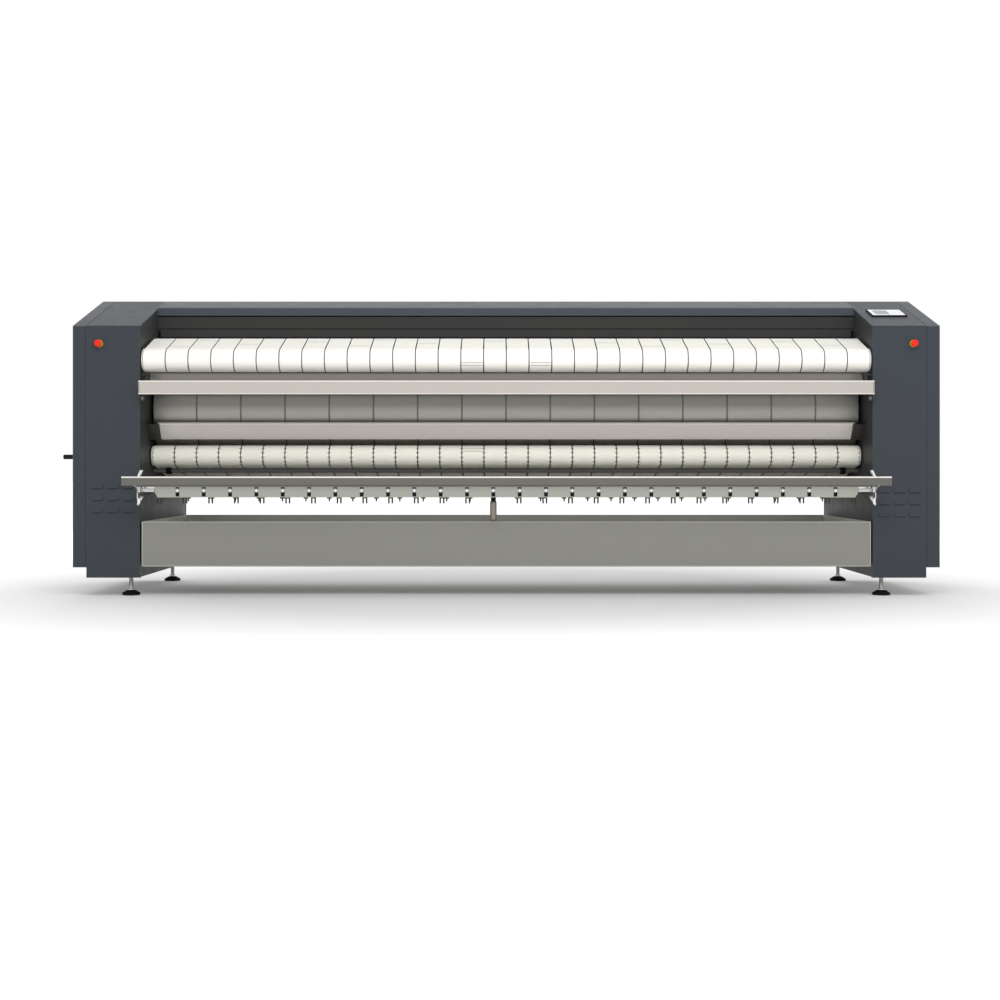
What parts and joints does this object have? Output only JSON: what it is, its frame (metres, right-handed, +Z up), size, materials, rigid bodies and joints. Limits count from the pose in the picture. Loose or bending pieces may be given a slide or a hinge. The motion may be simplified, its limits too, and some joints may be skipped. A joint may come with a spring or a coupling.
{
  "type": "flatwork ironer",
  "caption": "Floor-standing cylinder ironer with belt feed table, hand guard, exit guide rail, linen bin, hand crank and suction fan between two end housings.",
  "frame": {"origin": "on the floor under the middle of the whole machine, rail, crank and spigot included", "axes": "+X along the cylinder to the operator's right, +Y from the feed side to the back, +Z up"},
  "size_m": [4.04, 1.307, 1.404],
  "materials": {
    "slate_paint": "slate grey powder coat, slight orange peel",
    "dark_paint": "dark grey satin paint",
    "stainless": "fine lengthwise brushing",
    "polished_steel": "ground and polished, slightly warm",
    "machined_steel": "turned steel",
    "zinc_plate": "bright zinc plate",
    "feed_felt": "white woven belting",
    "ironing_felt": "off-white needled felt",
    "cast_iron": "painted casting",
    "black_rubber": "matt black rubber",
    "black_plastic": "moulded black grip",
    "red_plastic": "gloss red",
    "yellow_plastic": "satin yellow",
    "grey_plastic": "light grey moulding"
  },
  "bodies": {
    "frame": {"side_frame_left": "slate_paint", "front_panel_left": "slate_paint", "top_cover_left": "slate_paint", "rear_panel_left": "slate_paint", "side_cover_left": "slate_paint", "base_rail_left": "zinc_plate", "foot_front_left": "black_rubber", "foot_rear_left": "black_rubber", "cylinder_bearing_left": "cast_iron", "stop_collar_left": "yellow_plastic", "side_frame_right": "slate_paint", "front_panel_right": "slate_paint", "top_cover_right": "slate_paint", "rear_panel_right": "slate_paint", "side_cover_right": "slate_paint", "base_rail_right": "zinc_plate", "foot_front_right": "black_rubber", "foot_rear_right": "black_rubber", "cylinder_bearing_right": "cast_iron", "stop_collar_right": "yellow_plastic", "rear_tie_beam": "slate_paint", "upper_tie_beam": "slate_paint", "tie_rod": "dark_paint", "hood": "slate_paint", "hood_inner_panel": "dark_paint", "rear_cover": "slate_paint", "heater_tube": "dark_paint", "ironing_belts": "ironing_felt", "feed_table": "feed_felt", "feed_pan": "stainless", "exit_cover": "stainless", "belt_comb_front": "zinc_plate", "belt_comb_rear": "zinc_plate", "linen_bin": "stainless", "drive_belt": "black_rubber", "gear_motor": "cast_iron", "fan_housing": "zinc_plate", "fan_motor": "cast_iron", "touch_panel": "grey_plastic", "control_box": "grey_plastic"},
    "cylinder_drum": {"cylinder": "polished_steel", "cylinder_pulley": "cast_iron"},
    "press_roll_body": {"press_roll": "machined_steel"},
    "exit_roll_body": {"exit_roll": "machined_steel"},
    "rear_upper_roll_body": {"rear_upper_roll": "machined_steel"},
    "rear_lower_roll_body": {"rear_lower_roll": "machined_steel"},
    "feed_front_roll_body": {"feed_front_roll": "machined_steel"},
    "feed_rear_roll_body": {"feed_rear_roll": "machined_steel"},
    "crank": {"crank_shaft": "machined_steel", "crank_arm": "zinc_plate"},
    "grip": {"crank_grip": "black_plastic"},
    "guard": {"hand_guard": "stainless"},
    "flap": {"nip_flap": "dark_paint"},
    "fingers": {"finger_shaft": "machined_steel"},
    "exit_table": {"guide_rail": "stainless", "carrier_plate": "stainless"},
    "lever": {"release_lever": "black_plastic"},
    "impeller": {"fan_impeller": "zinc_plate"},
    "stop_left": {"stop_button_left": "red_plastic"},
    "stop_right": {"stop_button_right": "red_plastic"}
  },
  "joints": [
    {"name": "cylinder_spin", "type": "hinge", "parent": "frame", "child": "cylinder_drum", "pos_m": [0.04, 0.0135, 0.862], "axis": [1, 0, 0], "continuous": true},
    {"name": "press_roll_spin", "type": "hinge", "parent": "frame", "child": "press_roll_body", "pos_m": [0.04, -0.08013, 1.15017], "axis": [1, 0, 0], "continuous": true},
    {"name": "exit_roll_spin", "type": "hinge", "parent": "frame", "child": "exit_roll_body", "pos_m": [0.04, -0.19438, 0.64294], "axis": [1, 0, 0], "continuous": true},
    {"name": "rear_upper_roll_spin", "type": "hinge", "parent": "frame", "child": "rear_upper_roll_body", "pos_m": [0.04, 0.4435, 1.215], "axis": [1, 0, 0], "continuous": true},
    {"name": "rear_lower_roll_spin", "type": "hinge", "parent": "frame", "child": "rear_lower_roll_body", "pos_m": [0.04, 0.4435, 0.515], "axis": [1, 0, 0], "continuous": true},
    {"name": "feed_front_roll_spin", "type": "hinge", "parent": "frame", "child": "feed_front_roll_body", "pos_m": [0.04, -0.3865, 1.081], "axis": [1, 0, 0], "continuous": true},
    {"name": "feed_rear_roll_spin", "type": "hinge", "parent": "frame", "child": "feed_rear_roll_body", "pos_m": [0.04, -0.1975, 1.166], "axis": [1, 0, 0], "continuous": true},
    {"name": "crank_spin", "type": "hinge", "parent": "frame", "child": "crank", "pos_m": [0.04, -0.1415, 0.637], "axis": [1, 0, 0], "continuous": true},
    {"name": "grip_spin", "type": "hinge", "parent": "crank", "child": "grip", "pos_m": [0.04, -0.3015, 0.637], "axis": [1, 0, 0], "continuous": true},
    {"name": "fan_spin", "type": "hinge", "parent": "frame", "child": "impeller", "pos_m": [0.04, 0.3585, 0.85], "axis": [1, 0, 0], "continuous": true},
    {"name": "guard_press", "type": "hinge", "parent": "frame", "child": "guard", "pos_m": [0.04, -0.4195, 1.012], "axis": [1, 0, 0], "range_deg": [0, 8], "stiffness_Nm_per_rad": 120, "springref_deg": -6.88},
    {"name": "flap_swing", "type": "hinge", "parent": "frame", "child": "flap", "pos_m": [0.04, -0.0575, 1.24917], "axis": [1, 0, 0], "range_deg": [0, 30]},
    {"name": "finger_swing", "type": "hinge", "parent": "frame", "child": "fingers", "pos_m": [0.04, -0.2535, 0.752], "axis": [1, 0, 0], "range_deg": [0, 10], "stiffness_Nm_per_rad": 40, "springref_deg": -2.86},
    {"name": "table_lift", "type": "hinge", "parent": "frame", "child": "exit_table", "pos_m": [0.04, -0.4095, 0.476], "axis": [1, 0, 0], "range_deg": [-35, 0]},
    {"name": "lever_pull", "type": "hinge", "parent": "exit_table", "child": "lever", "pos_m": [-0.019, -0.5265, 0.47], "axis": [1, 0, 0], "range_deg": [-25, 0], "stiffness_Nm_per_rad": 0.6, "springref_deg": 5.73},
    {"name": "stop_press_left", "type": "slide", "parent": "frame", "child": "stop_left", "axis": [0, 1, 0], "range_m": [0, 0.006]},
    {"name": "stop_press_right", "type": "slide", "parent": "frame", "child": "stop_right", "axis": [0, 1, 0], "range_m": [0, 0.006]}
  ],
  "couplings": [
    {"joint": "press_roll_spin", "follows": "cylinder_spin", "ratio": -5.3191},
    {"joint": "exit_roll_spin", "follows": "cylinder_spin", "ratio": -5.4348},
    {"joint": "rear_upper_roll_spin", "follows": "cylinder_spin", "ratio": -5.5556},
    {"joint": "rear_lower_roll_spin", "follows": "cylinder_spin", "ratio": -5.5556},
    {"joint": "feed_front_roll_spin", "follows": "cylinder_spin", "ratio": 4.8077},
    {"joint": "feed_rear_roll_spin", "follows": "cylinder_spin", "ratio": 9.2593},
    {"joint": "crank_spin", "follows": "cylinder_spin", "ratio": 4}
  ]
}
